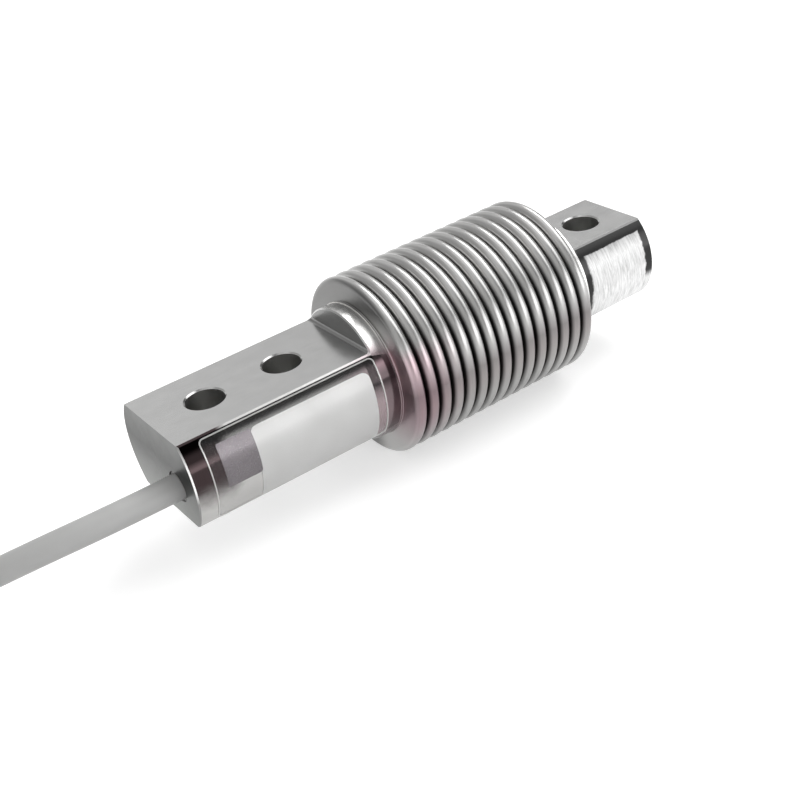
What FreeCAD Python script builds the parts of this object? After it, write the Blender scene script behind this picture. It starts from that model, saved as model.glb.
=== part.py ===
"""Bending beam load cell with a metal bellows: a parametric model in millimetres.

The origin is on the bottom face of the mounting block, midway between its two holes.
+X points to the load end and +Z up. The bar's axis is half a flat thickness above the origin.
"""
import FreeCAD, Part
import math
import os
import re
import Sketcher

Vector = FreeCAD.Vector
Rotation = FreeCAD.Rotation
Placement = FreeCAD.Placement

# Driving dimensions, in millimetres and degrees
SIZES = {
    # machined bar
    "bar_diameter": 30.2,
    "flat_thickness": 19.0,
    "hole_diameter": 8.2,
    "hole_rim": 0.3,
    "hole_spacing": 18.0,
    "end_margin": 12.5,
    "shoulder_margin": 14.3,
    "shoulder_root": 0.8,
    "collar_width": 3.4,
    "edge_break": 0.3,
    "load_reach": 82.0,
    "load_margin": 9.6,
    "load_diameter": 26.0,
    "load_thickness": 18.4,
    "load_collar_width": 3.1,
    # measuring beam inside the bellows
    "spigot_length": 2.0,
    "beam_width": 8.0,
    "window_diameter": 10.0,
    "window_spacing": 20.0,
    "window_slot": 4.0,
    # bellows
    "fold_count": 15,
    "fold_pitch": 3.25,
    "fold_diameter": 40.5,
    "crest_radius": 1.4,
    "bellows_wall": 0.35,
    "crest_wall": 0.85,
    "cuff_wall": 0.4,
    "cuff_length": 0.23,
    # cable entry
    "cable_diameter": 5.5,
    "cable_side": 6.4,
    "cable_drop": 2.15,
    "seal_wall": 0.6,
    "seal_setback": 0.3,
    "seal_length": 5.7,
    "potting_length": 1.0,
    "wire_bore": 3.0,
    # cable cores and circuit
    "core_diameter": 0.9,
    "core_circle": 1.9,
    "core_straight": 2.4,
    "pad_pitch": 1.9,
    "pad_margin": 1.6,
    "board_length": 6.5,
    "board_margin": 0.7,
    "board_thickness": 0.8,
    "board_setback": 0.6,
    "gauge_length": 7.0,
    "gauge_width": 5.0,
    "gauge_thickness": 0.12,
    "lead_diameter": 0.7,
    "resistor_length": 2.0,
    "resistor_width": 1.25,
    "resistor_height": 0.5,
    # put-away cable
    "coil_diameter": 55.0,
    "coil_columns": 2,
    "coil_layers": 9,
    "lead_inset": 0.2,
    "lead_clear": 0.6,
    "held_angle": 70.0,
    "tie_width": 10.0,
    "tie_thickness": 0.8,
    "tie_slack": 0.7,
    "tail_diameter": 1.3,
    "tail_pitch": 1.35,
    "tail_angle": 40.0,
    "tip_diameter": 0.7,
    "tip_angle": 9.0,
}

# Each core's place on the core circle in degrees, from the top pad of the board to the bottom one
CORE_ANGLES = {"white": 90, "red": 30, "green": 150, "grey": 210, "black": 330, "blue": 270}

# Share of the shorter run beside a bend that the bend's arc takes
ARC_SHARE = 0.45

# Free stretch of the cable after its straight start, chosen by hand from the photo:
# steps back, sideways and down from the cable bore's mouth
CABLE_STEPS = [
    (12.0, 0.0, 0.0),
    (30.6, 3.95, -1.9),
    (47.8, 12.0, -7.0),
    (59.6, 17.5, -12.2),
    (68.65, 21.75, -14.35),
    (75.0, 24.72, -14.35),
]

doc = FreeCAD.newDocument("bending_beam_load_cell")
sheet = doc.addObject("Spreadsheet::Sheet", "Sizes")
for row, (alias, number) in enumerate(SIZES.items(), start=1):
    sheet.set(f"A{row}", alias)
    sheet.set(f"B{row}", str(number))
    sheet.setAlias(f"B{row}", alias)
doc.recompute()

# Places along the bar and across it, as expressions of the sizes
AXIS_Z = "flat_thickness / 2"
END_X = "-(hole_spacing / 2 + end_margin)"
SHOULDER_X = "(hole_spacing / 2 + shoulder_margin)"
SEAM_X = f"({SHOULDER_X} + collar_width)"
SPIGOT_X = f"({SEAM_X} + spigot_length)"
LOAD_SEAM_X = f"({SEAM_X} + 2 * cuff_length + fold_count * fold_pitch)"
LOAD_SPIGOT_X = f"({LOAD_SEAM_X} - spigot_length)"
LOAD_SHOULDER_X = f"({LOAD_SEAM_X} + load_collar_width)"
LOAD_HOLE_X = "(hole_spacing / 2 + load_reach)"
LOAD_END_X = f"({LOAD_HOLE_X} + load_margin)"
BEAM_MIDDLE_X = f"(({SPIGOT_X} + {LOAD_SPIGOT_X}) / 2)"
FIRST_FOLD_X = f"({SEAM_X} + cuff_length + fold_pitch / 2)"
SPIGOT_R = "(bar_diameter / 2 - cuff_wall)"
POTTING_X = f"({END_X} + seal_setback + seal_length)"
BORE_END_X = f"({POTTING_X} + potting_length)"
SEAL_R = "(cable_diameter / 2 + seal_wall)"
BOARD_X = f"({SPIGOT_X} + board_setback)"
BOARD_FACE_Y = "(beam_width / 2 + board_thickness)"
BOARD_HEIGHT = "(flat_thickness - 2 * board_margin)"
COIL_OUTER_R = "(coil_diameter / 2 + coil_columns * cable_diameter / 2)"
COIL_INNER_R = "(coil_diameter / 2 - coil_columns * cable_diameter / 2)"
COIL_HEIGHT = "(coil_layers * cable_diameter)"


def bound(text):
    """The expression with each size named in full, as other objects of the document see it."""
    return re.sub(r"[a-z_]+", lambda word: ("Sizes." if word.group() in SIZES else "") + word.group(), text)


def value(text):
    """The expression's present value."""
    return float(sheet.evalExpression(text))


def bind(thing, **expressions):
    for name, text in expressions.items():
        thing.setExpression(name.replace("__", "."), bound(text))


def place(thing, x="", y="", z=""):
    """Binds the base of a thing's placement."""
    for axis, text in zip("xyz", (x, y, z)):
        if text:
            thing.setExpression(f"Placement.Base.{axis}", bound(text))


def new_body(name):
    body = doc.addObject("PartDesign::Body", name)
    body.Label = name
    return body


def origin_feature(body, role):
    return next(item for item in body.Origin.OriginFeatures if item.Role == role)


def new_sketch(body, name, role, offset=""):
    """A sketch on one of the body's origin planes, moved along its normal by an expression."""
    sketch = body.newObject("Sketcher::SketchObject", name)
    sketch.AttachmentSupport = [(origin_feature(body, role), "")]
    sketch.MapMode = "FlatFace"
    if offset:
        sketch.setExpression("AttachmentOffset.Base.z", bound(offset))
    return sketch


def fix_point(sketch, geometry, point, x, y):
    """Ties a point of the sketch to expressions of its two distances from the origin."""
    for kind, text in (("DistanceX", x), ("DistanceY", y)):
        if text is None:
            continue
        index = sketch.addConstraint(Sketcher.Constraint(kind, -1, 1, geometry, point, value(text)))
        sketch.setExpression(f"Constraints[{index}]", bound(text))


def outline(sketch, corners):
    """A closed outline. A corner is (x, y), or (x, y, centre x, centre y, turn) for an arc that ends there.

    turn is 1 where the arc runs anticlockwise and -1 where it runs clockwise.
    """
    count = len(corners)
    spots = [Vector(value(corner[0]), value(corner[1]), 0) for corner in corners]
    ends = []
    for number, corner in enumerate(corners):
        start = spots[number - 1]
        stop = spots[number]
        if len(corner) == 2:
            geometry = sketch.addGeometry(Part.LineSegment(start, stop), False)
            ends.append((geometry, 1, 2))
            continue
        centre = Vector(value(corner[2]), value(corner[3]), 0)
        first, last = (start, stop) if corner[4] > 0 else (stop, start)
        angles = [math.atan2(spot.y - centre.y, spot.x - centre.x) for spot in (first, last)]
        circle = Part.Circle(centre, Vector(0, 0, 1), (first - centre).Length)
        geometry = sketch.addGeometry(Part.ArcOfCircle(circle, *angles), False)
        ends.append((geometry, 1, 2) if corner[4] > 0 else (geometry, 2, 1))
        fix_point(sketch, geometry, 3, None, corner[3])
    for number, corner in enumerate(corners):
        here = ends[number]
        after = ends[(number + 1) % count]
        sketch.addConstraint(Sketcher.Constraint("Coincident", here[0], here[2], after[0], after[1]))
        fix_point(sketch, here[0], here[2], corner[0], corner[1])


def rectangle(sketch, left, right, bottom, top):
    outline(sketch, [(left, bottom), (right, bottom), (right, top), (left, top)])


def circle(sketch, x, y, diameter):
    spot = Vector(value(x), value(y), 0)
    geometry = sketch.addGeometry(Part.Circle(spot, Vector(0, 0, 1), value(diameter) / 2), False)
    fix_point(sketch, geometry, 3, x, y)
    index = sketch.addConstraint(Sketcher.Constraint("Diameter", geometry, value(diameter)))
    sketch.setExpression(f"Constraints[{index}]", bound(diameter))


def revolve(body, sketch, name):
    """A full turn of the sketch about the body's X axis."""
    feature = body.newObject("PartDesign::Revolution", name)
    feature.Profile = sketch
    feature.ReferenceAxis = (origin_feature(body, "X_Axis"), [""])
    feature.Angle = 360
    return feature


def cut_through(body, sketch, name):
    """A pocket right through the body, both ways from its sketch."""
    before = solid_volume(body)
    pocket = body.newObject("PartDesign::Pocket", name)
    pocket.Profile = sketch
    pocket.Type = "ThroughAll"
    pocket.SideType = "Symmetric"
    check_cut(body, before)
    return pocket


def cut_to(body, sketch, name, depth):
    """A pocket along the sketch's normal to a depth given by an expression."""
    before = solid_volume(body)
    pocket = body.newObject("PartDesign::Pocket", name)
    pocket.Profile = sketch
    pocket.Reversed = True
    bind(pocket, Length=depth)
    check_cut(body, before)
    return pocket


def solid_volume(body):
    doc.recompute()
    return body.Shape.Volume


def check_cut(body, before):
    if solid_volume(body) >= before:
        raise RuntimeError(f"a cut in {body.Label} removes nothing")


def chamfer(body, base, name, size, wanted):
    """Breaks the edges of the base feature that the wanted test picks."""
    doc.recompute()
    names = [f"Edge{n}" for n, edge in enumerate(base.Shape.Edges, start=1) if wanted(edge)]
    feature = body.newObject("PartDesign::Chamfer", name)
    feature.Base = (base, names)
    bind(feature, Size=size)
    doc.recompute()
    return feature


def near(a, b):
    return abs(a - b) < 0.01


def is_circle(edge, radius):
    return edge.Curve.TypeId == "Part::GeomCircle" and near(edge.Curve.Radius, radius)


def make_beam_body():
    """The bar: turned to its steps, then milled to flats and a windowed beam, then drilled."""
    body = new_body("beam_body")
    place(body, z=AXIS_Z)
    bar_r = "bar_diameter / 2"
    load_r = "load_diameter / 2"
    profile = new_sketch(body, "bar_profile", "XZ_Plane")
    steps = [
        (END_X, bar_r),
        (SEAM_X, SPIGOT_R),
        (LOAD_SEAM_X, bar_r),
        (LOAD_SHOULDER_X, load_r),
    ]
    corners = [(END_X, "0")]
    for number, (x, radius) in enumerate(steps):
        stop = steps[number + 1][0] if number + 1 < len(steps) else LOAD_END_X
        corners += [(x, radius), (stop, radius)]
    corners.append((LOAD_END_X, "0"))
    outline(profile, corners)
    revolve(body, profile, "turned_bar")

    clear = "bar_diameter"
    for name, left, right, half, root_end in (
        ("mount", f"({END_X} - {clear})", SHOULDER_X, "flat_thickness / 2", "right"),
        ("load", LOAD_SHOULDER_X, f"({LOAD_END_X} + {clear})", "load_thickness / 2", "left"),
    ):
        flats = new_sketch(body, f"{name}_flats_outline", "XZ_Plane")
        for sign in ("", "-"):
            turn = -1 if sign else 1
            root = f"{sign}({half} + shoulder_root)"
            if root_end == "right":
                inset = f"({right} - shoulder_root)"
                corners = [
                    (left, f"{sign}({half})"),
                    (inset, f"{sign}({half})"),
                    (right, root, inset, root, turn),
                    (right, f"{sign}({clear})"),
                    (left, f"{sign}({clear})"),
                ]
            else:
                inset = f"({left} + shoulder_root)"
                corners = [
                    (right, f"{sign}({half})"),
                    (inset, f"{sign}({half})"),
                    (left, root, inset, root, -turn),
                    (left, f"{sign}({clear})"),
                    (right, f"{sign}({clear})"),
                ]
            outline(flats, corners)
        cut_through(body, flats, f"{name}_flats")

    heights = new_sketch(body, "beam_height_outline", "XZ_Plane")
    widths = new_sketch(body, "beam_width_outline", "XY_Plane")
    for sketch, half in ((heights, "flat_thickness / 2"), (widths, "beam_width / 2")):
        rectangle(sketch, SPIGOT_X, LOAD_SPIGOT_X, half, clear)
        rectangle(sketch, SPIGOT_X, LOAD_SPIGOT_X, f"-{clear}", f"-({half})")
    cut_through(body, heights, "beam_height")
    cut_through(body, widths, "beam_sides")

    holes = new_sketch(body, "window_holes_outline", "XZ_Plane")
    for sign in "-+":
        circle(holes, f"{BEAM_MIDDLE_X} {sign} window_spacing / 2", "0", "window_diameter")
    cut_through(body, holes, "window_holes")
    slot = new_sketch(body, "window_slot_outline", "XZ_Plane")
    slot_ends = [f"({BEAM_MIDDLE_X} {sign} window_spacing / 2)" for sign in "-+"]
    rectangle(slot, *slot_ends, "-window_slot / 2", "window_slot / 2")
    cut_through(body, slot, "window_slot")

    bolts = new_sketch(body, "bolt_holes_outline", "XY_Plane")
    for x in ("-hole_spacing / 2", "hole_spacing / 2", LOAD_HOLE_X):
        circle(bolts, x, "0", "hole_diameter")
    cut_through(body, bolts, "bolt_holes")

    entry = new_sketch(body, "cable_bore_outline", "YZ_Plane", END_X)
    circle(entry, "-cable_side", "-cable_drop", f"2 * {SEAL_R}")
    cut_to(body, entry, "cable_bore", f"{BORE_END_X} - ({END_X})")
    wires = new_sketch(body, "wire_bore_outline", "YZ_Plane", END_X)
    circle(wires, "-cable_side", "-cable_drop", "wire_bore")
    drilled = cut_to(body, wires, "wire_bore", f"{SPIGOT_X} - ({END_X})")

    hole_r = value("hole_diameter / 2")
    rims = chamfer(body, drilled, "hole_rims", "hole_rim", lambda edge: is_circle(edge, hole_r))
    chamfer(body, rims, "broken_edges", "edge_break", is_outer_edge)
    return body


def is_outer_edge(edge):
    """True for the long edges of the flats and the round edges of both ends.

    The break runs on along tangent edges, so it takes in the mounting block's shoulders.
    """
    box = edge.BoundBox
    straight = edge.Curve.TypeId == "Part::GeomLine"
    for radius, half, end in (
        ("bar_diameter / 2", "flat_thickness / 2", END_X),
        ("load_diameter / 2", "load_thickness / 2", LOAD_END_X),
    ):
        side = math.sqrt(value(radius) ** 2 - value(half) ** 2)
        on_side = near(abs(edge.CenterOfMass.y), side)
        if straight and on_side and near(abs(edge.CenterOfMass.z), value(half)):
            return True
        if is_circle(edge, value(radius)) and near(box.XLength, 0) and near(box.XMin, value(end)):
            return True
    return False


def make_bellows():
    """One fold turned about the bar's axis and repeated along it, with a cuff at each end."""
    body = new_body("bellows")
    place(body, x=FIRST_FOLD_X, z=AXIS_Z)
    half = "(fold_pitch / 2)"
    crest_y = "(fold_diameter / 2 - crest_radius)"
    groove = "(fold_pitch / 2 - crest_radius)"
    root_r = "(bar_diameter / 2)"
    groove_y = f"({root_r} + {groove})"
    inside = "(crest_radius - bellows_wall)"
    roof_y = "(fold_diameter / 2 - crest_wall)"
    profile = new_sketch(body, "fold_profile", "XZ_Plane")
    outline(profile, [
        (f"-{half}", root_r),
        ("-crest_radius", groove_y, f"-{half}", groove_y, 1),
        ("-crest_radius", crest_y),
        ("crest_radius", crest_y, "0", crest_y, -1),
        ("crest_radius", groove_y),
        (half, root_r, half, groove_y, 1),
        (half, SPIGOT_R),
        (inside, SPIGOT_R),
        (inside, roof_y),
        (f"-{inside}", roof_y),
        (f"-{inside}", SPIGOT_R),
        (f"-{half}", SPIGOT_R),
    ])
    fold = revolve(body, profile, "fold")
    folds = body.newObject("PartDesign::LinearPattern", "folds")
    folds.Originals = [fold]
    folds.Direction = (origin_feature(body, "X_Axis"), [""])
    folds.Mode = "Spacing"
    bind(folds, Offset="fold_pitch", Occurrences="fold_count")
    body.Tip = folds
    doc.recompute()
    cuffs = new_sketch(body, "cuff_profile", "XZ_Plane")
    last = "((fold_count - 1) * fold_pitch)"
    rectangle(cuffs, f"-({half} + cuff_length)", f"-{half}", SPIGOT_R, root_r)
    rectangle(cuffs, f"{last} + {half}", f"{last} + {half} + cuff_length", SPIGOT_R, root_r)
    revolve(body, cuffs, "cuffs")
    return body


def make_seal():
    """Elastomer sleeve between the cable and its bore."""
    body = new_body("cable_seal")
    place(body, x=f"{END_X} + seal_setback", y="-cable_side", z=f"{AXIS_Z} - cable_drop")
    profile = new_sketch(body, "seal_profile", "XZ_Plane")
    rectangle(profile, "0", "seal_length", "cable_diameter / 2", SEAL_R)
    revolve(body, profile, "sleeve")
    return body


def core_spot(angle):
    """A core's place on the core circle, as expressions of its offsets from the wire bore's axis."""
    return f"core_circle / 2 * cos({angle} deg)", f"core_circle / 2 * sin({angle} deg)"


def make_potting():
    """Cast plug behind the seal, with a hole for each core."""
    body = new_body("potting")
    place(body, x=POTTING_X, y="-cable_side", z=f"{AXIS_Z} - cable_drop")
    plug = new_sketch(body, "plug_outline", "YZ_Plane")
    circle(plug, "0", "0", f"2 * {SEAL_R}")
    pad = body.newObject("PartDesign::Pad", "plug")
    pad.Profile = plug
    bind(pad, Length="potting_length")
    holes = new_sketch(body, "core_holes_outline", "YZ_Plane")
    for angle in CORE_ANGLES.values():
        circle(holes, *core_spot(angle), "core_diameter")
    cut_through(body, holes, "core_holes")
    return body


def tube(name, points, diameter, report=False):
    """A round tube along straight runs joined by tangent arcs as large as the runs allow."""
    edges = []
    start = points[0]
    for before, corner, after in zip(points, points[1:], points[2:]):
        back = before - corner
        ahead = after - corner
        turn = math.pi - back.getAngle(ahead)
        reach = ARC_SHARE * min(back.Length, ahead.Length)
        back.normalize()
        ahead.normalize()
        first = corner + back * reach
        last = corner + ahead * reach
        radius = reach / math.tan(turn / 2)
        centre = corner + (back + ahead).normalize() * math.hypot(radius, reach)
        middle = centre + (corner - centre).normalize() * radius
        edges.append(Part.LineSegment(start, first).toShape())
        edges.append(Part.Arc(first, middle, last).toShape())
        start = last
        if report:
            print(f"{name}: turn {math.degrees(turn):.0f} degrees, radius {radius:.1f} mm")
    edges.append(Part.LineSegment(start, points[-1]).toShape())
    path = Part.Wire(edges)
    end = Part.Wire(Part.makeCircle(diameter / 2, points[0], points[1] - points[0]))
    shape = path.makePipeShell([end], True, False)
    expected = math.pi * diameter ** 2 / 4 * path.Length
    if abs(shape.Volume / expected - 1) > 0.01:
        raise RuntimeError(f"{name} has {shape.Volume:.1f} mm3 where its length gives {expected:.1f}")
    feature = doc.addObject("Part::Feature", name)
    feature.Label = name
    feature.Shape = shape
    feature.Placement = Placement()
    return feature


def make_cores():
    """Six insulated cores from the cable's end through the wire bore to the terminal board."""
    axis_y = -value("cable_side")
    axis_z = value(f"{AXIS_Z} - cable_drop")
    bend_x = value(f"{SPIGOT_X} + core_straight")
    pad_x = value(f"{BOARD_X} + board_length - pad_margin")
    pad_y = -value(f"{BOARD_FACE_Y} + core_diameter / 2")
    made = []
    for number, (colour, angle) in enumerate(CORE_ANGLES.items()):
        y, z = (offset + value(text) for offset, text in zip((axis_y, axis_z), core_spot(angle)))
        pad_z = axis_z + ((len(CORE_ANGLES) - 1) / 2 - number) * value("pad_pitch")
        points = [
            Vector(value(POTTING_X), y, z),
            Vector(bend_x, y, z),
            Vector(pad_x, pad_y, pad_z),
        ]
        made.append(tube(f"core_{colour}", points, value("core_diameter")))
    return made


def new_box(name, length, width, height, x, y, z):
    box = doc.addObject("Part::Box", name)
    box.Label = name
    bind(box, Length=length, Width=width, Height=height)
    place(box, x, y, z)
    return box


def make_circuit():
    """Gauges on the beam over its windows, their leads, and the board with its trim resistors."""
    made = []
    for end, sign in (("fixed", "-"), ("load", "+")):
        x = f"{BEAM_MIDDLE_X} {sign} window_spacing / 2 - gauge_length / 2"
        for side, z in (("top", "flat_thickness"), ("bottom", "-gauge_thickness")):
            made.append(new_box(f"gauge_{side}_{end}", "gauge_length", "gauge_width", "gauge_thickness",
                                x, "-gauge_width / 2", z))
    made.append(new_box("terminal_board", "board_length", "board_thickness", BOARD_HEIGHT,
                        BOARD_X, f"-{BOARD_FACE_Y}", "board_margin"))
    for number, name in enumerate(("balance", "span", "temperature")):
        spare = "(board_length - 3 * resistor_width) / 4"
        x = f"{BOARD_X} + {spare} * {number + 1} + resistor_width * {number}"
        made.append(new_box(f"{name}_resistor", "resistor_width", "resistor_height", "resistor_length",
                            x, f"-({BOARD_FACE_Y} + resistor_height)",
                            f"{AXIS_Z} + {BOARD_HEIGHT} / 4 - resistor_length / 2"))
    half = value("lead_diameter / 2")
    lead_y = -value(f"{BOARD_FACE_Y} + lead_diameter / 2")
    for end, sign, side_y, share in (("fixed", "-", 0.0, 0.7), ("load", "+", 1.0, 0.3)):
        x = value(f"{BEAM_MIDDLE_X} {sign} window_spacing / 2 - gauge_length / 2") - half
        y = side_y * (value("beam_width / 2") - half)
        turn_x = value(BOARD_X) + share * value("board_length")
        for side, level, end_z in (
            ("top", value("flat_thickness") + half, value("flat_thickness - board_margin") - 2 * half),
            ("bottom", -half, value("board_margin") + 2 * half),
        ):
            points = [
                Vector(x, y, level),
                Vector(turn_x, y, level),
                Vector(turn_x, lead_y, level),
                Vector(turn_x, lead_y, end_z),
            ]
            made.append(tube(f"lead_{side}_{end}", points, 2 * half))
    return made


def cable_points():
    """The free cable's points, from its cut end in the bore to the start of its coil."""
    mouth = Vector(value(END_X), -value("cable_side"), value(f"{AXIS_Z} - cable_drop"))
    points = [Vector(value(POTTING_X), mouth.y, mouth.z)]
    points += [mouth + Vector(-back, side, drop) for back, side, drop in CABLE_STEPS]
    return points


def join(kind, name, *things):
    """A cut of two things, or a fusion of several."""
    made = doc.addObject(kind, name)
    if kind == "Part::Cut":
        made.Base, made.Tool = things
    else:
        made.Shapes = list(things)
    made.Label = name
    return made


def ring(name, outer, inner, height, angle="360"):
    """A flat ring, or a sector of one, about +Z."""
    solids = []
    for part, radius in (("outer", outer), ("inner", inner)):
        cylinder = doc.addObject("Part::Cylinder", f"{name}_{part}")
        bind(cylinder, Radius=radius, Height=height)
        solids.append(cylinder)
    bind(solids[0], Angle=angle)
    return join("Part::Cut", name, *solids)


def make_put_away_cable(points):
    """The coil as one solid of its outer shape, its strap, and the stripped end lying in its top layer.

    The coil is made about +Z, wound anticlockwise from where the cable comes in at +X,
    then set where the free cable ends.
    """
    lead_r = value(f"{COIL_OUTER_R} - cable_diameter / 2 - lead_inset")
    lead_z = value("cable_diameter / 2 + lead_inset")
    leaves = math.sqrt(value(COIL_OUTER_R) ** 2 - (lead_r - value("cable_diameter / 2")) ** 2)
    lead_in = leaves + value("lead_clear")
    top_z = value(f"{COIL_HEIGHT} - cable_diameter")
    heading = (points[-1] - points[-2]).normalize()
    outward = Vector(heading.y, -heading.x, 0)
    axis = points[-1] + heading * lead_in - outward * lead_r
    spot = Placement(Vector(axis.x, axis.y, axis.z - lead_z), Rotation(Vector(1, 0, 0), outward))

    turns = ring("coil_turns", COIL_OUTER_R, COIL_INNER_R, COIL_HEIGHT)
    gap = ring("coil_gap", f"{COIL_OUTER_R} + cable_diameter", f"{COIL_OUTER_R} - cable_diameter",
               "2 * cable_diameter", "360 - held_angle")
    gap.Placement = Placement(Vector(0, 0, top_z), Rotation(Vector(0, 0, 1), value("held_angle")))
    stepped = join("Part::Cut", "coil_stepped", turns, gap)
    lead = doc.addObject("Part::Cylinder", "coil_lead_in")
    bind(lead, Radius="cable_diameter / 2")
    lead.Height = lead_in
    lead.Placement = Placement(Vector(lead_r, 0, lead_z), Rotation(Vector(0, 0, 1), Vector(0, -1, 0)))
    coil = join("Part::MultiFuse", "cable_coil", stepped, lead)
    coil.Placement = spot
    return [coil, make_tie(spot)] + make_tails(spot, top_z)


def make_tie(spot):
    """Strap round the coil's section, where the last turn fills the top layer."""
    depth = f"({COIL_OUTER_R} - {COIL_INNER_R} + tie_slack)"
    outer = new_box("tie_outer", f"{depth} + 2 * tie_thickness", "tie_width",
                    f"{COIL_HEIGHT} + 2 * tie_thickness", "-tie_thickness", "0", "-tie_thickness")
    inner = new_box("tie_inner", depth, "2 * tie_width", COIL_HEIGHT, "0", "-tie_width / 2", "0")
    tie = join("Part::Cut", "cable_tie", outer, inner)
    turned = Placement(Vector(), Rotation(Vector(0, 0, 1), value("held_angle") / 2))
    shift = Placement(Vector(value(f"{COIL_INNER_R} - tie_slack"), -value("tie_width") / 2, 0), Rotation())
    tie.Placement = spot.multiply(turned).multiply(shift)
    return tie


def make_tails(spot, top_z):
    """Six stripped cores that follow the coil's curve in two rows of three, and their tinned tips."""
    made = []
    tips = []
    for number, colour in enumerate(CORE_ANGLES):
        column = number % 3 - 1
        row = number // 3
        radius = f"{COIL_OUTER_R} - cable_diameter / 2 + {column} * tail_pitch"
        lift = value(f"tail_diameter / 2 + {row} * tail_pitch")
        for name, thickness, angle, start in (
            (f"tail_{colour}", "tail_diameter", "tail_angle", "held_angle"),
            (f"tip_{colour}", "tip_diameter", "tip_angle", "held_angle + tail_angle"),
        ):
            torus = doc.addObject("Part::Torus", name)
            torus.Label = name
            bind(torus, Radius1=radius, Radius2=f"{thickness} / 2", Angle3=angle)
            begin = Rotation(Vector(0, 0, 1), value(start))
            torus.Placement = spot.multiply(Placement(Vector(0, 0, top_z + lift), begin))
            (tips if name.startswith("tip") else made).append(torus)
    doc.recompute()
    group = doc.addObject("Part::Compound", "tail_tips")
    group.Label = "tail_tips"
    group.Links = tips
    return made + [group]


def check_and_write(parts):
    doc.recompute()
    for thing in doc.Objects:
        if {"Invalid", "Error"} & set(thing.State):
            raise RuntimeError(f"{thing.Label} failed: {thing.State}")
    os.makedirs("parts", exist_ok=True)
    for part in parts:
        if part.Shape.isNull() or not part.Shape.isValid():
            raise RuntimeError(f"{part.Label} has no valid shape")
    for part in parts:
        part.Shape.exportStep(os.path.join("parts", f"{part.Label}.step"))


route = cable_points()
pieces = [make_beam_body(), make_bellows(), make_seal(), make_potting()]
pieces += make_cores() + make_circuit()
pieces.append(tube("cable", route, value("cable_diameter"), report=True))
pieces += make_put_away_cable(route)
check_and_write(pieces)
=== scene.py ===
"""Bending beam load cell: camera, cable, finishes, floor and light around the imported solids.

Sizes here are in millimetres and go to Blender in metres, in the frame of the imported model: +X to the load
end, +Z up.
"""
import math

import bpy
from mathutils import Matrix, Vector


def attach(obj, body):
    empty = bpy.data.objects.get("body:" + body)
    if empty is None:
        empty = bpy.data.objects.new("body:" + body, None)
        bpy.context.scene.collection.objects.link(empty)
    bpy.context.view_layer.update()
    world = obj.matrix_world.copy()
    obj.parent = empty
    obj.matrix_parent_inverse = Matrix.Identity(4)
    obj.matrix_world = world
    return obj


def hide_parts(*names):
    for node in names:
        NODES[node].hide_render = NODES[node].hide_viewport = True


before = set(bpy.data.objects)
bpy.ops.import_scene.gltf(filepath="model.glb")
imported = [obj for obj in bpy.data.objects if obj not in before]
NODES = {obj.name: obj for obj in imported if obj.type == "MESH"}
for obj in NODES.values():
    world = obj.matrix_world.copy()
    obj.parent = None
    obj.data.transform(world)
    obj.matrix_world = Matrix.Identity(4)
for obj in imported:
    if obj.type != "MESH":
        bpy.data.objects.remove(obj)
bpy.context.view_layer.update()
MM = 0.001

# Sizes shared with the solids, in millimetres
AXIS_Z = 9.5
BAR_R = 15.1
END_X = -21.5
SHOULDER_X = 23.3
SEAM_X = 26.7
LOAD_SEAM_X = 75.91
LOAD_SHOULDER_X = 79.01
LOAD_END_X = 100.6
FOLD_COUNT = 15
FOLD_PITCH = 3.25
FOLD_R = 20.25
CREST_R = 1.4
SHEET = 0.35
CABLE_D = 5.5
FLOOR_Z = -10.75
HOLES_X = (-9.0, 9.0, 91.0)
HOLE_RIM_R = 4.45

# Label sheets on the bar's side: left, right, top angle, bottom angle and corner
LABEL = (-7.2, 20.85, 28.5, -38.0, 1.7)
FOIL = (-14.6, -6.9, 28.5, -7.5, 0.5)
FILM = (-17.3, 23.0, 36.2, -36.5, 1.0)
# Heights of each sheet's under and upper side above the bar
LABEL_LIFT = (0.0, 0.08)
FOIL_LIFT = (0.02, 0.1)
FILM_LIFT = (0.12, 0.16)
FILM_EDGE_WIDTH = 0.34
FILM_EDGE_HEIGHT = 0.17

WHITE = (1, 1, 1, 1)


def make_camera():
    """The photograph's view: a fitted position, direction and focal length."""
    focal_px = 1332.13
    image_px = 800
    data = bpy.data.cameras.new("camera")
    data.sensor_width = 36
    data.lens = data.sensor_width * focal_px / image_px
    data.clip_start = 0.01
    camera = bpy.data.objects.new("camera", data)
    right = Vector((0.80269, -0.57660, -0.15237))
    ahead = Vector((0.43494, 0.74077, -0.51194))
    up = right.cross(ahead)
    place = Matrix((right, up, -ahead)).transposed().to_4x4()
    place.translation = Vector((-92.8, -217.8, 147.9)) * MM
    camera.matrix_world = place
    bpy.context.scene.collection.objects.link(camera)
    bpy.context.scene.camera = camera


make_camera()

# The cable's route: its cut end in the bore, its free stretch, then the turns of the coil
MOUTH = Vector((END_X, -6.4, 7.35))
CABLE_START = Vector((-15.5, -6.4, 7.35))
CABLE_STEPS = [
    (12.0, 0.0, 0.0),
    (30.6, 3.95, -1.9),
    (47.8, 12.0, -7.0),
    (59.6, 17.5, -12.2),
    (68.65, 21.75, -14.35),
    (75.0, 24.72, -14.35),
]
COIL_COLUMNS = 2
COIL_MIDDLE_R = 27.5
COIL_BASE_Z = -9.95
POINTS_A_TURN = 24
SHIFT_SHARE = 0.16
COIL_TURNS = 16 + 70 / 360
LEAD_IN = 19.14
LEAD_R = 30.05


def free_points():
    return [CABLE_START] + [MOUTH + Vector((-back, side, drop)) for back, side, drop in CABLE_STEPS]


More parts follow.
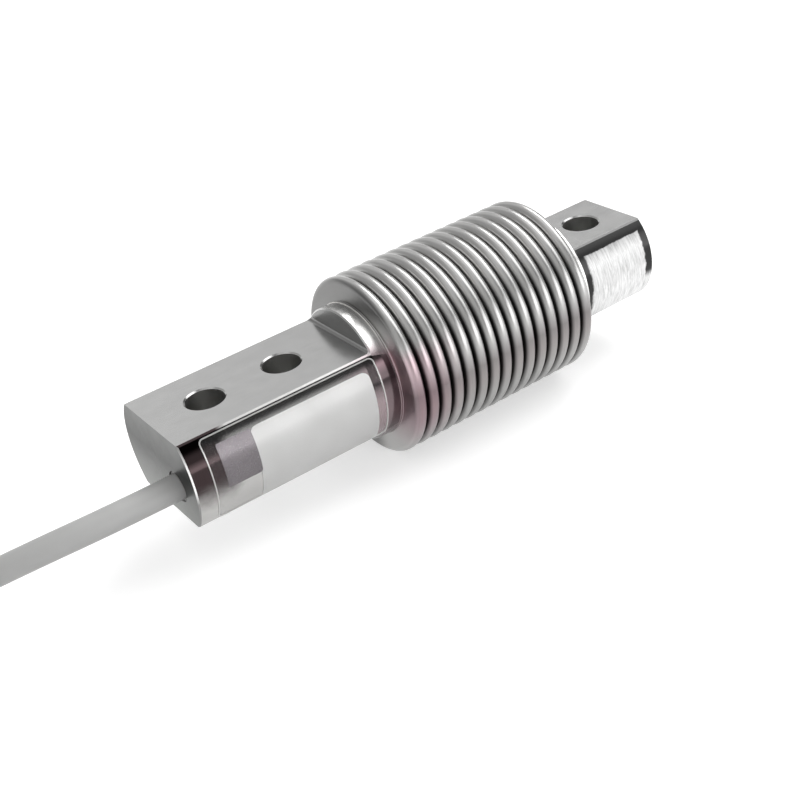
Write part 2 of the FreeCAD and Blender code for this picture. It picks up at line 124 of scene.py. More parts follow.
def coil_frame():
    """The coil's axis, and the directions from it to where the cable comes in and the way it goes on."""
    points = free_points()
    heading = (points[-1] - points[-2]).normalized()
    outward = Vector((heading.y, -heading.x, 0))
    axis = points[-1] + heading * LEAD_IN - outward * LEAD_R
    axis.z = COIL_BASE_Z
    return axis, outward, heading


def ease(share):
    share = min(1, max(0, share))
    return share * share * (3 - 2 * share)


def coil_spot(turn):
    """Column from the outside and layer from below, after that many turns.

    The lowest layer has its outer turn alone. The others go to and fro.
    """
    whole = int(turn)
    shift = ease((turn - whole - 1 + SHIFT_SHARE) / SHIFT_SHARE)

    def column_layer(number):
        layer, step = divmod(number + 1, COIL_COLUMNS)
        return (step if layer % 2 else COIL_COLUMNS - 1 - step), layer

    here = column_layer(whole)
    after = column_layer(whole + 1)
    return [a + (b - a) * shift for a, b in zip(here, after)]


def coil_points():
    axis, outward, heading = coil_frame()
    outer = COIL_MIDDLE_R + (COIL_COLUMNS - 1) / 2 * CABLE_D
    # control points stand outside the turn that they shape
    swell = 1 / math.cos(math.pi / POINTS_A_TURN)
    made = []
    for number in range(1, round(COIL_TURNS * POINTS_A_TURN) + 1):
        turn = number / POINTS_A_TURN
        column, layer = coil_spot(turn)
        angle = 2 * math.pi * turn
        radius = (outer - column * CABLE_D) * swell
        spot = axis + (outward * math.cos(angle) + heading * math.sin(angle)) * radius
        made.append(spot + Vector((0, 0, (layer + 0.5) * CABLE_D)))
    return made


def make_cable():
    points = free_points() + coil_points()
    data = bpy.data.curves.new("cable_jacket", "CURVE")
    data.dimensions = "3D"
    # the points carry the thickness, because their radius counts in the curve's bounds
    data.bevel_depth = 1.0
    data.bevel_resolution = 5
    data.resolution_u = 6
    data.use_fill_caps = True
    spline = data.splines.new("NURBS")
    spline.points.add(len(points) - 1)
    for point, spot in zip(spline.points, points):
        point.co = (*(spot * MM), 1)
        point.radius = CABLE_D / 2 * MM
    spline.order_u = 3
    spline.use_endpoint_u = True
    cable = bpy.data.objects.new("cable_jacket", data)
    bpy.context.scene.collection.objects.link(cable)
    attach(cable, "root")
    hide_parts("cable", "cable_coil")
    return cable


cable = make_cable()


class Tree:
    """The node tree of a material or of the world, round its main shader."""

    def __init__(self, owner, shader="Principled BSDF"):
        owner.use_nodes = True
        self.owner = owner
        self.nodes = owner.node_tree.nodes
        self.links = owner.node_tree.links
        self.shader = self.nodes[shader]

    def add(self, kind, settings=None, **inputs):
        node = self.nodes.new("ShaderNode" + kind)
        for name, setting in (settings or {}).items():
            setattr(node, name, setting)
        for name, given in inputs.items():
            key = int(name[1:]) if name[1:].isdigit() else name.replace("_", " ")
            self.give(node.inputs[key], given)
        return node

    def give(self, socket, given):
        if isinstance(given, bpy.types.NodeSocket):
            self.links.new(given, socket)
        else:
            socket.default_value = given

    def set(self, **inputs):
        """Values or links for the main shader's own sockets."""
        for name, given in inputs.items():
            self.give(self.shader.inputs[name.replace("_", " ")], given)

    def math(self, operation, a, b=0.0):
        return self.add("Math", {"operation": operation}, i0=a, i1=b).outputs[0]

    def position(self):
        """The place in the frame: x, y and z in millimetres."""
        place = self.add("TexCoord").outputs["Object"]
        parts = self.add("SeparateXYZ", i0=place).outputs
        return [self.math("MULTIPLY", part, 1 / MM) for part in parts]

    def height(self):
        """Millimetres above the bar's axis."""
        return self.math("SUBTRACT", self.position()[2], AXIS_Z)

    def toward(self, vector, direction, inner_deg, outer_deg):
        """1 within one angle of a direction, falling to 0 at another."""
        along = self.add("VectorMath", {"operation": "DOT_PRODUCT"}, i0=vector, i1=tuple(direction))
        inner, outer = (math.cos(math.radians(angle)) for angle in (inner_deg, outer_deg))
        return self.fade(along.outputs["Value"], outer, inner)

    def fade(self, given, start, stop):
        """0 up to one value and 1 from another, smooth between them."""
        low, high = min(start, stop), max(start, stop)
        ends = (0.0, 1.0) if start < stop else (1.0, 0.0)
        node = self.add("MapRange", {"interpolation_type": "SMOOTHSTEP"}, i0=given, i1=low, i2=high)
        self.give(node.inputs[3], ends[0])
        self.give(node.inputs[4], ends[1])
        return node.outputs[0]

    def mix(self, share, a, b, blend="MIX"):
        node = self.add("Mix", {"data_type": "RGBA", "blend_type": blend}, i0=share, i6=a, i7=b)
        return node.outputs[2]

    def multiply(self, a, b):
        return self.mix(1.0, a, b, "MULTIPLY")

    def vector(self, x=0.0, y=0.0, z=0.0):
        return self.add("CombineXYZ", X=x, Y=y, Z=z).outputs[0]

    def noise(self, vector, scale=1.0, detail=2.0, roughness=0.5):
        node = self.add("TexNoise", Vector=vector, Scale=scale, Detail=detail, Roughness=roughness)
        return node.outputs["Fac"]

    def height_tone(self, stops):
        """A painted tone for the height on the bar, for painted reflections and shade. A stop's place goes
        from 0 below the axis to 1 above it.
        """
        reach = 16.0
        level = self.math("DIVIDE", self.math("ADD", self.height(), reach), 2 * reach)
        return self.ramp(level, *stops)

    def ramp(self, given, *stops):
        """A colour ramp. Each stop is (place, grey or colour)."""
        node = self.add("ValToRGB", Fac=given)
        elements = node.color_ramp.elements
        while len(elements) < len(stops):
            elements.new(1)
        for element, (place, colour) in zip(elements, stops):
            element.position = place
            rgb = (colour,) * 3 if isinstance(colour, (int, float)) else colour
            element.color = (*rgb, 1)
        return node.outputs["Color"]

    def bump(self, height, depth_mm, strength=1.0):
        node = self.add("Bump", Strength=strength, Distance=depth_mm * MM, Height=height)
        return node.outputs["Normal"]

    def around(self):
        """Distance along the bar, arc length round it and distance from its axis, in millimetres."""
        x, y, z = self.position()
        z = self.math("SUBTRACT", z, AXIS_Z)
        squares = [self.math("MULTIPLY", part, part) for part in (y, z)]
        radius = self.math("SQRT", self.math("ADD", *squares))
        arc = self.math("MULTIPLY", self.math("ARCTAN2", z, y), BAR_R)
        return x, arc, radius


def new_material(name):
    return Tree(bpy.data.materials.new(name))


def tinted(colour, share):
    return tuple(min(1, part * share) for part in colour)


def brushed(name, colour, rough, lines, depth_mm, across="turned", spread=0.06, tones=()):
    """Worked steel: fine lines from its tool, with cloudy changes of gloss and tone.

    lines are the noise's steps a millimetre across and along the tool's path.
    tones are stops of a painted reflection tone for the height.
    """
    tree = new_material(name)
    x, arc_length, radius = tree.around()
    if across == "turned":
        first, second = x, arc_length
    elif across == "faced":
        first, second = radius, arc_length
    else:
        second, first = tree.position()[:2]
    streaks = tree.noise(
        tree.vector(tree.math("MULTIPLY", first, lines[0]), tree.math("MULTIPLY", second, lines[1])),
        detail=4.0, roughness=0.65)
    clouds = tree.noise(tree.vector(x, arc_length, radius), scale=0.25, detail=3.0)
    tone = tree.math("ADD", tree.math("MULTIPLY", streaks, 0.6), tree.math("MULTIPLY", clouds, 0.4))
    steel = tree.ramp(tone, (0.3, tinted(colour, 1 - spread)), (0.7, tinted(colour, 1 + spread)))
    if tones:
        steel = tree.multiply(steel, tree.height_tone(tones))
    if across == "turned":
        # turned steel also gets the painted pink and dark reflections and the painted shade of the label's
        # side
        steel = side_shade(tree, painted_dark_reflection(tree, painted_pink_reflection(tree, steel, x, clouds), x, clouds), x)
    tree.set(
        Base_Color=steel,
        Roughness=tree.ramp(tone, (0.3, rough * 0.85), (0.7, rough * 1.15)),
        Normal=tree.bump(streaks, depth_mm),
        Metallic=1.0,
    )
    return tree.owner


def painted_pink_reflection(tree, steel, x, clouds):
    """A painted pink and brown reflection on the steel beside the weld, on the label's side."""
    y, z = tree.position()[1:]
    wave = tree.math("MULTIPLY", clouds, 5.0)
    from_seam = tree.math("ABSOLUTE", tree.math("SUBTRACT", x, SEAM_X))
    along = tree.fade(tree.math("ADD", from_seam, wave), 18.0, 5.0)
    high = tree.fade(tree.math("ADD", z, wave), AXIS_Z + 14.0, AXIS_Z + 9.5)
    foot = tree.fade(z, AXIS_Z - 17.0, AXIS_Z - 5.0)
    front = tree.fade(y, -4.0, -10.0)
    pink_reflection_mask = tree.math("MULTIPLY", along, tree.math("MULTIPLY", tree.math("MULTIPLY", high, foot), front))
    return tree.multiply(steel, tree.mix(pink_reflection_mask, WHITE, (*PINK_REFLECTION_TINT, 1)))


def painted_dark_reflection(tree, steel, x, clouds):
    """A painted dark, brownish reflection on the label's side next to the cable."""
    wave = tree.math("MULTIPLY", clouds, 4.0)
    along = tree.fade(tree.math("ADD", x, wave), END_X + 12.5, END_X + 9.5)
    high = tree.fade(tree.math("ADD", tree.height(), wave), -4.0, 3.0)
    front = tree.fade(tree.position()[1], 2.0, -2.0)
    dark_reflection_mask = tree.math("MULTIPLY", front, tree.math("MULTIPLY", along, high))
    return tree.multiply(steel, tree.mix(dark_reflection_mask, WHITE, (*DARK_REFLECTION_TINT, 1)))


def side_shade(tree, steel, x):
    """Painted dark and pinkish reflections on the label's side: the strip above the label, the steel at its
    end and the collar.
    """
    front = tree.fade(tree.position()[1], -3.0, -5.0)
    soft = 0.1
    zones = (
        (END_X, LABEL[1], STRIP_TONES),
        (LABEL[1], SHOULDER_X, LABEL_END_TONES),
        (SHOULDER_X, SEAM_X, COLLAR_TONES),
    )
    for left, right, stops in zones:
        after = tree.fade(x, left - soft, left + soft)
        before = tree.fade(x, right + soft, right - soft)
        mask = tree.math("MULTIPLY", tree.math("MULTIPLY", after, before), front)
        steel = tree.multiply(steel, tree.mix(mask, WHITE, tree.height_tone(stops)))
    return steel


def load_side_steel():
    """The load end's round sides: brushed bright, with a painted reflection tone for the height, and left
    polished along their edges, where dark reflections and, beside the bellows, a shadow are painted.
    """
    tree = new_material("load_side")
    x, y, z = tree.position()
    height = tree.height()
    wave = tree.noise(tree.vector(x, y, z), scale=0.6, detail=3.0)
    slant = tree.math("ADD", x, tree.math("MULTIPLY", height, 0.06))
    streaks = tree.noise(
        tree.vector(tree.math("MULTIPLY", slant, 2.6), tree.math("MULTIPLY", height, 0.22)),
        detail=6.0, roughness=0.75)
    wavy_x = tree.math("ADD", x, tree.math("MULTIPLY", wave, 1.2))
    # edge, end and root: painted dark reflections along the top edge and the end, and painted shadow beside
    # the bellows
    edge = tree.fade(tree.math("ADD", height, tree.math("MULTIPLY", wave, 0.5)), 7.4, 7.7)
    end = tree.math("MULTIPLY", tree.fade(wavy_x, LOAD_END_X - 1.9, LOAD_END_X - 1.5),
                    tree.fade(height, -4.5, -2.0))
    root = tree.fade(wavy_x, LOAD_SHOULDER_X + 4.2, LOAD_SHOULDER_X + 3.4)
    dark = tree.math("MAXIMUM", edge, tree.math("MAXIMUM", end, root))
    # bright: the brush marks times a painted reflection tone for the height
    bright = tree.multiply(tree.ramp(streaks, (0.34, 0.38), (0.44, 0.52), (0.58, 0.7)),
                           tree.height_tone(LOAD_SIDE_TONES))
    tree.set(
        Base_Color=tree.mix(dark, bright, (0.035, 0.035, 0.035, 1)),
        Roughness=tree.mix(dark, (0.42, 0.42, 0.42, 1), (0.2, 0.2, 0.2, 1)),
        Normal=tree.bump(streaks, 0.012),
        Metallic=1.0,
    )
    return tree.owner


def plastic(name, colour, rough, grain_mm=0.3, depth_mm=0.01):
    """Moulded or extruded plastic with a fine grain and slight changes of tone."""
    tree = new_material(name)
    place = tree.add("TexCoord").outputs["Object"]
    grain = tree.noise(place, scale=1 / (grain_mm * MM), detail=3.0)
    clouds = tree.noise(place, scale=90.0, detail=2.0)
    low, high = (tuple(part * share for part in colour) for share in (0.93, 1.06))
    tree.set(
        Base_Color=tree.ramp(clouds, (0.3, low), (0.7, high)),
        Roughness=tree.ramp(grain, (0.3, rough * 0.85), (0.7, rough * 1.15)),
        Normal=tree.bump(grain, depth_mm),
    )
    return tree.owner


# Tint of the painted pink reflection beside the weld
PINK_REFLECTION_TINT = (0.9, 0.7, 0.76)
# Tint of the painted dark reflection next to the cable
DARK_REFLECTION_TINT = (0.09, 0.066, 0.07)
STEEL = (0.46, 0.455, 0.445)
# Painted reflections, highlights and shade, as fixed tones for the height in stops for Tree.height_tone
FACE_TONES = ((0.2, 1.5), (0.57, 0.28), (0.8, 0.85))
FLANK_TONES = ((0.08, 1.1), (0.5, 0.5), (0.75, 1.7), (1.0, 0.3))
EDGE_TONES = ((0.42, 0.28), (0.53, 1.0), (0.68, 1.0), (0.77, 0.5))
LOAD_SIDE_TONES = ((0.44, 1.12), (0.54, 0.96), (0.62, 0.78), (0.73, 0.68))
STRIP_TONES = ((0.655, 1.0), (0.69, 0.25), (0.785, 0.25), (0.79, 1.0))
LABEL_END_TONES = ((0.5, 0.7), (0.57, 0.45), (0.62, 0.07), (0.785, 0.07), (0.79, 1.0))
COLLAR_TONES = ((0.4, 0.44), (0.56, 0.33), (0.62, 0.11), (0.67, 0.15), (0.75, (0.38, 0.34, 0.355)),
                (0.81, (0.9, 0.84, 0.86)), (0.86, 1.0))
MATERIALS = {
    "flat": brushed("ground_flat", (0.55, 0.55, 0.545), 0.24, (6.0, 0.15), 0.001, "ground"),
    "round": brushed("polished_round", STEEL, 0.11, (9.0, 0.05), 0.0015),
    "load_round": load_side_steel(),
    # the end face's tone for the height is a painted reflection
    "face": brushed("faced_end", (0.142, 0.146, 0.14), 0.36, (7.0, 0.05), 0.003, "faced", tones=FACE_TONES),
    "shoulder": brushed("milled_shoulder", (0.27, 0.27, 0.267), 0.3, (5.0, 0.1), 0.003, "faced"),
    "collar": brushed("satin_collar", (0.72, 0.715, 0.705), 0.26, (9.0, 0.05), 0.002),
    "bevel": brushed("bright_bevel", (0.5, 0.5, 0.495), 0.22, (5.0, 0.1), 0.001),
    # a painted dark reflection on the load end's bevels
    "end_bevel": brushed("turned_bevel_painted_dark", (0.07, 0.07, 0.07), 0.3, (5.0, 0.1), 0.001),
    # a painted glint along the upper half of the mount end's bevel, on the label's side
    "glint": brushed("painted_glint_edge", (0.9, 0.9, 0.89), 0.3, (5.0, 0.1), 0.001, "faced", tones=EDGE_TONES),
    "bore": brushed("drilled_bore", (0.5, 0.5, 0.49), 0.34, (5.0, 0.3), 0.006),
    "inner": brushed("milled_beam", STEEL, 0.32, (4.0, 0.2), 0.004, "ground"),
}


def near(a, b, within=0.03):
    return abs(a - b) < within


def beam_finish(centre, normal):
    """Which finish a face of the bar has, from its middle in millimetres and its direction."""
    x = centre.x
    off_axis = math.hypot(centre.y, centre.z - AXIS_Z)
    height = abs(centre.z - AXIS_Z)
    upright = abs(normal.z)
    radial = Vector((0, centre.y, centre.z - AXIS_Z)).normalized()
    mount_end = x < SHOULDER_X - 0.7
    load_end = x > LOAD_SHOULDER_X + 0.7
    if SEAM_X < x < LOAD_SEAM_X:
        return "inner"
    for hole_x in HOLES_X:
        if math.hypot(x - hole_x, centre.y) < HOLE_RIM_R:
            if upright > 0.9:
                return "flat"
            return "bevel" if upright > 0.3 else "bore"
    if upright > 0.995 and (mount_end or load_end):
        return "flat"
    if near(x, SHOULDER_X, 1.0) and (abs(normal.x) > 0.98 or off_axis < BAR_R - 1.2):
        return "shoulder"
    if abs(normal.x) > 0.98:
        return "face"
    # the load end's bevels get the painted dark reflection
    if load_end and abs(normal.dot(radial)) < 0.985:
        return "end_bevel"
    # the mount end's bevel: the painted glint on the label's side
    if abs(normal.x) > 0.5 and x < END_X + 1:
        return "glint" if centre.y < -10.0 else "shoulder"
    if abs(normal.dot(radial)) > 0.985 and off_axis > 12.0:
        return "load_round" if load_end else "round" if mount_end else "collar"
    if off_axis < 6.5 or (off_axis < 11.0 and near(height, 2.15, 4.0)):
        return "bore"
    return "bevel"


def dress_beam():
    beam = NODES["beam_body"]
    beam.data.materials.clear()
    order = list(MATERIALS)
    for name in order:
        beam.data.materials.append(MATERIALS[name])
    for polygon in beam.data.polygons:
        polygon.material_index = order.index(beam_finish(polygon.center / MM, polygon.normal))


dress_beam()


def new_mesh(name, vertices, faces, material):
    """A piece from points in millimetres, riding on the one body."""
    data = bpy.data.meshes.new(name)
    data.from_pydata([Vector(v) * MM for v in vertices], [], faces)
    data.validate()
    data.update()
    data.polygons.foreach_set("use_smooth", [True] * len(data.polygons))
    data.set_sharp_from_angle(angle=math.radians(40))
    data.materials.append(material)
    piece = bpy.data.objects.new(name, data)
    bpy.context.scene.collection.objects.link(piece)
    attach(piece, "root")
    return piece


def turned(name, profile, material, segments=160):
    """A closed profile of (x, radius) turned about the bar's axis."""
    count = len(profile)
    vertices = []
    for step in range(segments):
        angle = 2 * math.pi * step / segments
        c, s = math.cos(angle), math.sin(angle)
        vertices += [(x, -radius * c, AXIS_Z + radius * s) for x, radius in profile]
    faces = []
    for step in range(segments):
        a = step * count
        b = (step + 1) % segments * count
        for number in range(count):
            after = (number + 1) % count
            faces.append((a + number, a + after, b + after, b + number))
    return new_mesh(name, vertices, faces, material)


def arc(x, radius, size, start, stop, steps):
    """Points on an arc in the (x, radius) plane, angles in degrees from +x to outward."""
    made = []
    for step in range(steps + 1):
        angle = math.radians(start + (stop - start) * step / steps)
        made.append((x + size * math.cos(angle), radius + size * math.sin(angle)))
    return made


def fold_line(offset, crest_steps, root_steps):
    """The folds' line from seam to seam, moved into the sheet by an offset."""
    root_size = FOLD_PITCH / 2 - CREST_R + offset
    crest_size = CREST_R - offset
    crest_y = FOLD_R - CREST_R
    root_y = BAR_R + FOLD_PITCH / 2 - CREST_R
    first = SEAM_X + (LOAD_SEAM_X - SEAM_X - FOLD_COUNT * FOLD_PITCH) / 2
    line = [(SEAM_X, BAR_R - offset)]
    line += arc(first, root_y, root_size, 270, 360, root_steps // 2)
    for number in range(FOLD_COUNT):
        middle = first + (number + 0.5) * FOLD_PITCH
        line += arc(middle, crest_y, crest_size, 180, 0, crest_steps)
        after = first + (number + 1) * FOLD_PITCH
        if number < FOLD_COUNT - 1:
            line += arc(after, root_y, root_size, 180, 360, root_steps)
    line += arc(after, root_y, root_size, 180, 270, root_steps // 2)
    line.append((LOAD_SEAM_X, BAR_R - offset))
    return line


def bellows_steel():
    """Formed sheet: satin, with lines round it from rolling, painted shade in the grooves, a painted darker,
    pinker reflection low on the folds and painted reflections on the first fold's flank.
    """
    tree = new_material("formed_sheet")
    x, arc_length, radius = tree.around()
    lines = tree.noise(tree.vector(tree.math("MULTIPLY", x, 9.0), tree.math("MULTIPLY", arc_length, 0.06),
                                   tree.math("MULTIPLY", radius, 9.0)), detail=4.0, roughness=0.6)
    clouds = tree.noise(tree.vector(x, arc_length, radius), scale=0.3, detail=3.0)
    tone = tree.math("ADD", tree.math("MULTIPLY", lines, 0.6), tree.math("MULTIPLY", clouds, 0.4))
    steel = tree.ramp(tone, (0.3, (0.42, 0.418, 0.412)), (0.7, (0.48, 0.477, 0.47)))
    depth = tree.math("DIVIDE", tree.math("SUBTRACT", radius, BAR_R), FOLD_R - BAR_R)
    height = tree.math("DIVIDE", tree.position()[2], 30.0)
    # low: a painted darker, pinker reflection low on the folds
    low = tree.ramp(height, (0.0, 0.85), (0.2, (0.64, 0.6, 0.6)), (0.32, (0.5, 0.47, 0.475)),
                    (0.46, 0.9), (0.55, 1.0))
    # flank: painted reflections and highlight on the first fold's flank on the label's side, painted shade
    # on it elsewhere
    flank = tree.mix(tree.fade(tree.position()[1], 0.0, -6.0), (0.42, 0.42, 0.42, 1),
                     tree.height_tone(FLANK_TONES))
    # groove: painted shade in the grooves, stronger low down than on top
    groove = tree.mix(tree.fade(height, 0.55, 0.85),
                      tree.ramp(depth, (0.0, 0.3), (0.83, 0.31), (0.9, 0.48), (0.965, 1.0)),
                      tree.ramp(depth, (0.0, 0.7), (0.85, 1.0)))
    shade = tree.mix(tree.fade(x, SEAM_X + 1.5, SEAM_X + 0.6), tree.multiply(groove, low), flank)
    tree.set(
        Base_Color=painted_pink_reflection(tree, tree.multiply(steel, shade), x, clouds),
        Roughness=tree.ramp(tone, (0.3, 0.27), (0.7, 0.35)),
        Normal=tree.bump(lines, 0.002),
        Metallic=0.9,
    )
    return tree.owner


def make_bellows():
    outside = fold_line(0.0, 12, 8)
    inside = fold_line(SHEET, 6, 6)
    bellows = turned("bellows_sheet", outside + inside[::-1], bellows_steel(), 128)
    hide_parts("bellows")


make_bellows()


def smooth_nodes():
    for node in NODES.values():
        data = node.data
        data.polygons.foreach_set("use_smooth", [True] * len(data.polygons))
        data.set_sharp_from_angle(angle=math.radians(25))


def label_rows(start, stop, corner_deg, steps, edge_steps):
    """Angles down the label, closer together at its rounded corners."""
    made = [start - corner_deg * (1 - math.cos(math.pi / 2 * n / edge_steps)) for n in range(edge_steps)]
    low, high = stop + corner_deg, start - corner_deg
    made += [high + (low - high) * n / steps for n in range(steps)]
    made += [stop + corner_deg * (1 - math.sin(math.pi / 2 * n / edge_steps)) for n in range(edge_steps + 1)]
    return made


def patch(name, left, right, top, bottom, corner, lifts, material):
    """A thin rounded sheet on the bar's side, between two angles above the horizontal and two heights."""
    inner, outer = (BAR_R + lift for lift in lifts)
    corner_deg = math.degrees(corner / BAR_R)
    rows = label_rows(top, bottom, corner_deg, 24, 6)
    columns = 12
    vertices = []
    for radius in (outer, inner):
        for angle in rows:
            edge = min(top - angle, angle - bottom)
            depth = max(0.0, 1 - edge / corner_deg)
            inset = corner * (1 - math.sqrt(max(0.0, 1 - depth * depth)))
            for n in range(columns + 1):
                x = left + inset + (right - left - 2 * inset) * n / columns
                turn = math.radians(angle)
                vertices.append((x, -radius * math.cos(turn), AXIS_Z + radius * math.sin(turn)))
    width = columns + 1
    sheet = len(rows) * width
    faces = []
    for row in range(len(rows) - 1):
        for n in range(columns):
            a = row * width + n
            quad = (a, a + width, a + width + 1, a + 1)
            faces.append(quad)
            faces.append(tuple(sheet + v for v in reversed(quad)))
    rim = list(range(width))
    rim += [row * width + columns for row in range(1, len(rows))]
    rim += [(len(rows) - 1) * width + n for n in range(columns - 1, -1, -1)]
    rim += [row * width for row in range(len(rows) - 2, 0, -1)]
    for a, b in zip(rim, rim[1:] + rim[:1]):
        faces.append((a, b, sheet + b, sheet + a))
    return new_mesh(name, vertices, faces, material)


def rounded_loop(left, right, top, bottom, corner):
    """Points round a rounded sheet on the bar's side: (x, arc length, outward direction in that plane)."""
    top, bottom = (math.radians(angle) * BAR_R for angle in (top, bottom))
    centres = ((right - corner, top - corner), (left + corner, top - corner),
               (left + corner, bottom + corner), (right - corner, bottom + corner))
    corner_steps = 6
    side_step = 1.5
    made = []
    for quarter, (x, s) in enumerate(centres):
        for step in range(corner_steps + 1):
            angle = math.pi / 2 * (quarter + step / corner_steps)
            out = (math.cos(angle), math.sin(angle))
            made.append((x + corner * out[0], s + corner * out[1], out))
        after = centres[(quarter + 1) % 4]
        run = Vector(after) - Vector((x, s))
        count = int(run.length / side_step)
        for step in range(1, count):
            spot = Vector(made[-1][:2]) if step == 1 else spot
            spot = spot + run / count
            made.append((spot.x, spot.y, out))
    return made


def border(name, sheet, width, height, material):
    """A thin raised bead along the edge of a rounded sheet."""
    section = ((-0.5, -0.02), (-0.3, height), (0.3, height), (0.5, -0.02))
    loop = rounded_loop(*sheet)
    vertices = []
    for x, s, out in loop:
        for share, lift in section:
            turn = (s + out[1] * share * width) / BAR_R
            radius = BAR_R + lift
            vertices.append((x + out[0] * share * width, -radius * math.cos(turn),
                             AXIS_Z + radius * math.sin(turn)))
    size = len(section)
    faces = []
    for number in range(len(loop)):
        a = number * size
        b = (number + 1) % len(loop) * size
        for side in range(size):
            after = (side + 1) % size
            faces.append((a + side, b + side, b + after, a + after))
    return new_mesh(name, vertices, faces, material)


def sheet_material(name, colour, rough, metallic, alpha=1.0):
    """Bare label stock: even, with a fine grain and slight waves."""
    tree = new_material(name)
    place = tree.add("TexCoord").outputs["Object"]
    fine = tree.noise(place, scale=2500.0, detail=2.0)
    waves = tree.noise(place, scale=120.0, detail=2.0)
    tree.set(
        Base_Color=tree.ramp(waves, (0.3, tinted(colour, 0.95)), (0.7, tinted(colour, 1.05))),
        Roughness=tree.ramp(fine, (0.3, rough * 0.97), (0.7, rough * 1.03)),
        Normal=tree.bump(waves, 0.01),
        Metallic=metallic,
        Alpha=alpha,
    )
    return tree.owner


def make_label():
    paper = sheet_material("label_sheet", (0.53, 0.53, 0.525), 0.36, 0.3)
    foil = sheet_material("plain_foil", (0.15, 0.137, 0.146), 0.28, 0.9)
    film = sheet_material("clear_film", (0.3, 0.3, 0.3), 0.1, 0.0, 0.03)
    edge = sheet_material("film_edge", (0.52, 0.52, 0.51), 0.3, 0.5)
    patch("bare_label", *LABEL, LABEL_LIFT, paper)
    patch("bare_foil", *FOIL, FOIL_LIFT, foil)
    patch("clear_film", *FILM, FILM_LIFT, film)
    border("film_edge", FILM, FILM_EDGE_WIDTH, FILM_EDGE_HEIGHT, edge)


def make_welds():
    """A fine bead where the bellows' cuff meets each collar."""
    weld = brushed("weld_bead", (0.5, 0.49, 0.475), 0.22, (3.0, 1.2), 0.02)
    for name, x in (("weld_mount", SEAM_X), ("weld_load", LOAD_SEAM_X)):
        bead = arc(x, BAR_R - 0.12, 0.3, 180, 0, 8)
        turned(name, bead + [(x + 0.2, BAR_R - 0.3), (x - 0.2, BAR_R - 0.3)], weld)


make_welds()
make_label()
smooth_nodes()


def dress_small_nodes():
    colours = {
        "white": (0.8, 0.8, 0.78), "red": (0.5, 0.04, 0.03), "green": (0.05, 0.25, 0.08),
        "grey": (0.3, 0.3, 0.31), "black": (0.02, 0.02, 0.02), "blue": (0.03, 0.08, 0.35),
    }
    finishes = {f"_{name}": plastic(f"insulation_{name}", rgb, 0.35) for name, rgb in colours.items()}
    finishes.update({
        "_seal": plastic("seal_rubber", (0.2, 0.2, 0.195), 0.5),
        "potting": plastic("potting_resin", (0.05, 0.04, 0.03), 0.25),
        "_board": plastic("board_laminate", (0.05, 0.2, 0.09), 0.4),
        "_resistor": plastic("resistor_body", (0.03, 0.03, 0.035), 0.4),
        "_tie": plastic("tie_nylon", (0.03, 0.03, 0.03), 0.4),
        "gauge_": plastic("gauge_film", (0.5, 0.26, 0.06), 0.3),
        "lead_": plastic("lead_sleeve", (0.7, 0.66, 0.55), 0.35),
        "tail_tips": brushed("tinned_strands", (0.7, 0.7, 0.68), 0.3, (4.0, 0.5), 0.01),
    })
    for name, node in NODES.items():
        for mark, finish in finishes.items():
            if name.startswith(mark) or name.endswith(mark):
                node.data.materials.clear()
                node.data.materials.append(finish)


dress_small_nodes()
cable.data.materials.append(plastic("cable_sheath", (0.395, 0.395, 0.391), 0.45, 0.5, 0.006))


def make_floor():
    """A wide white floor that keeps the shadow and shows as white to the camera and in the metal."""
    half = 20.0
    data = bpy.data.meshes.new("floor")
    corners = [(x, y, FLOOR_Z * MM) for x, y in ((-half, -half), (half, -half), (half, half), (-half, half))]
    data.from_pydata(corners, [], [(0, 1, 2, 3)])
    floor = bpy.data.objects.new("floor", data)
    bpy.context.scene.collection.objects.link(floor)
    tree = new_material("white_floor")
    tree.set(Base_Color=(0.7, 0.7, 0.7, 1), Roughness=0.9, Specular_IOR_Level=0.0)
    glow_strength = 0.5
    path = tree.add("LightPath").outputs
    seen = tree.math("MAXIMUM", path["Is Camera Ray"],
                     tree.math("MAXIMUM", path["Is Glossy Ray"], path["Is Transmission Ray"]))
    glow = tree.add("Emission", Strength=tree.math("MULTIPLY", seen, glow_strength))
    both = tree.add("AddShader", i0=tree.shader.outputs[0], i1=glow.outputs[0])
    tree.links.new(both.outputs[0], tree.nodes["Material Output"].inputs["Surface"])
    data.materials.append(tree.owner)


make_floor()


def aim(azimuth, elevation):
    """A direction from two angles in degrees, azimuth from +X toward +Y."""
    azimuth, elevation = math.radians(azimuth), math.radians(elevation)
    return Vector((math.cos(elevation) * math.cos(azimuth), math.cos(elevation) * math.sin(azimuth),
                   math.sin(elevation)))


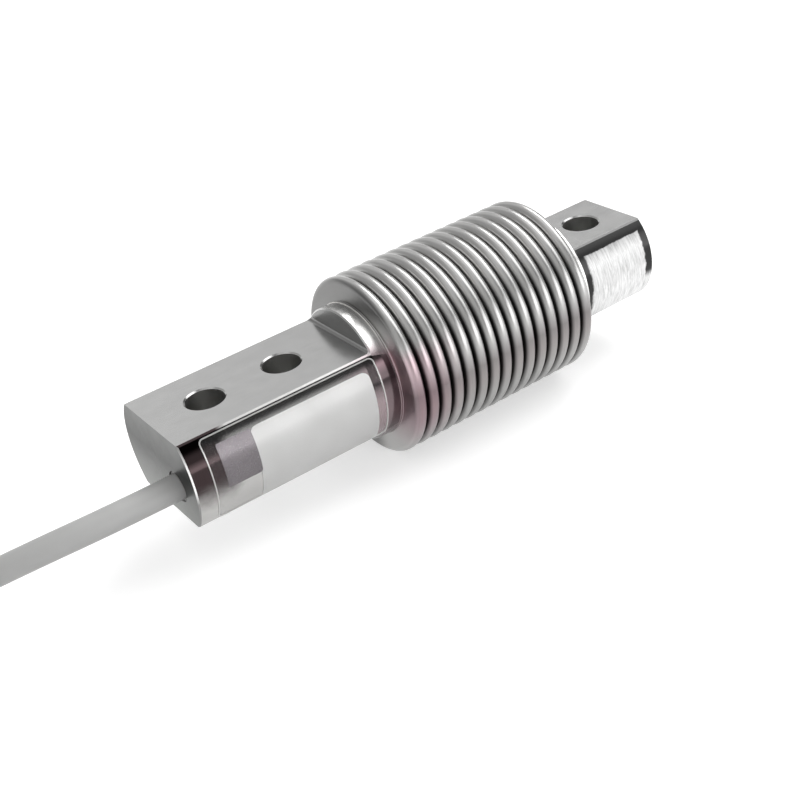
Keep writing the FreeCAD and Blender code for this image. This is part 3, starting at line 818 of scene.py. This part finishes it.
# Brightness of the studio's walls, the rise of a direction where each part starts and ends, and the paler
# places: azimuth, elevation, the angles where the glow starts to fall and ends, its strength and the
# elevation of its ceiling
WALL_FOOT = 1.0
WALL_LOW = 0.5
WALL_DARK = 0.09
FOOT_RISE = (0.11, 0.06)
DARK_RISE = (0.24, 0.10)
CEILING_NONE = 90
CEILING_SOFT = 5
WALL_GLOWS = [
    (62, 30, 14, 38, 0.5, CEILING_NONE),
    (135, 25, 35, 75, 0.42, CEILING_NONE),
    (-140, 38, 18, 45, 0.6, CEILING_NONE),
    (0, 84, 12, 36, 0.35, CEILING_NONE),
    (-65, 10, 14, 36, 3.0, 26),
    (-22, 48, 10, 30, 2.6, CEILING_NONE),
]


def soft_box(name, azimuth, elevation, size, power):
    """A soft box that faces the bellows from a direction."""
    distance = 0.9
    data = bpy.data.lights.new(name, "AREA")
    data.shape = "RECTANGLE"
    data.size, data.size_y = size
    data.energy = power
    light = bpy.data.objects.new(name, data)
    toward = aim(azimuth, elevation)
    light.location = Vector((35.0, 0.0, AXIS_Z)) * MM + toward * distance
    light.rotation_mode = "QUATERNION"
    light.rotation_quaternion = toward.to_track_quat("Z", "Y")
    bpy.context.scene.collection.objects.link(light)


def make_world():
    """The studio round the object: white up to the horizon, dark above it, with paler walls and ceiling."""
    world = bpy.data.worlds.new("studio")
    bpy.context.scene.world = world
    tree = Tree(world, "Background")
    direction = tree.add("TexCoord").outputs["Generated"]
    rise = tree.add("SeparateXYZ", i0=direction).outputs["Z"]
    low = tree.math("MULTIPLY", tree.fade(rise, *DARK_RISE), WALL_LOW - WALL_DARK)
    foot = tree.math("MULTIPLY", tree.fade(rise, *FOOT_RISE), WALL_FOOT - WALL_LOW)
    level = tree.math("ADD", tree.math("ADD", low, WALL_DARK), foot)
    for azimuth, elevation, inner, outer, strength, ceiling in WALL_GLOWS:
        glow = tree.math("MULTIPLY", tree.toward(direction, aim(azimuth, elevation), inner, outer), strength)
        if ceiling < CEILING_NONE:
            start, stop = (math.sin(math.radians(ceiling + turn)) for turn in (CEILING_SOFT, -CEILING_SOFT))
            glow = tree.math("MULTIPLY", glow, tree.fade(rise, start, stop))
        level = tree.math("ADD", level, glow)
    tree.set(Color=tree.vector(level, level, level))


def make_light():
    make_world()
    soft_box("right_box", 25, 49, (0.6, 0.3), 3.1)
    soft_box("top_box", 0, 82, (0.8, 0.8), 1.3)


make_light()
bpy.context.scene.view_settings.view_transform = "Standard"

bpy.context.view_layer.update()
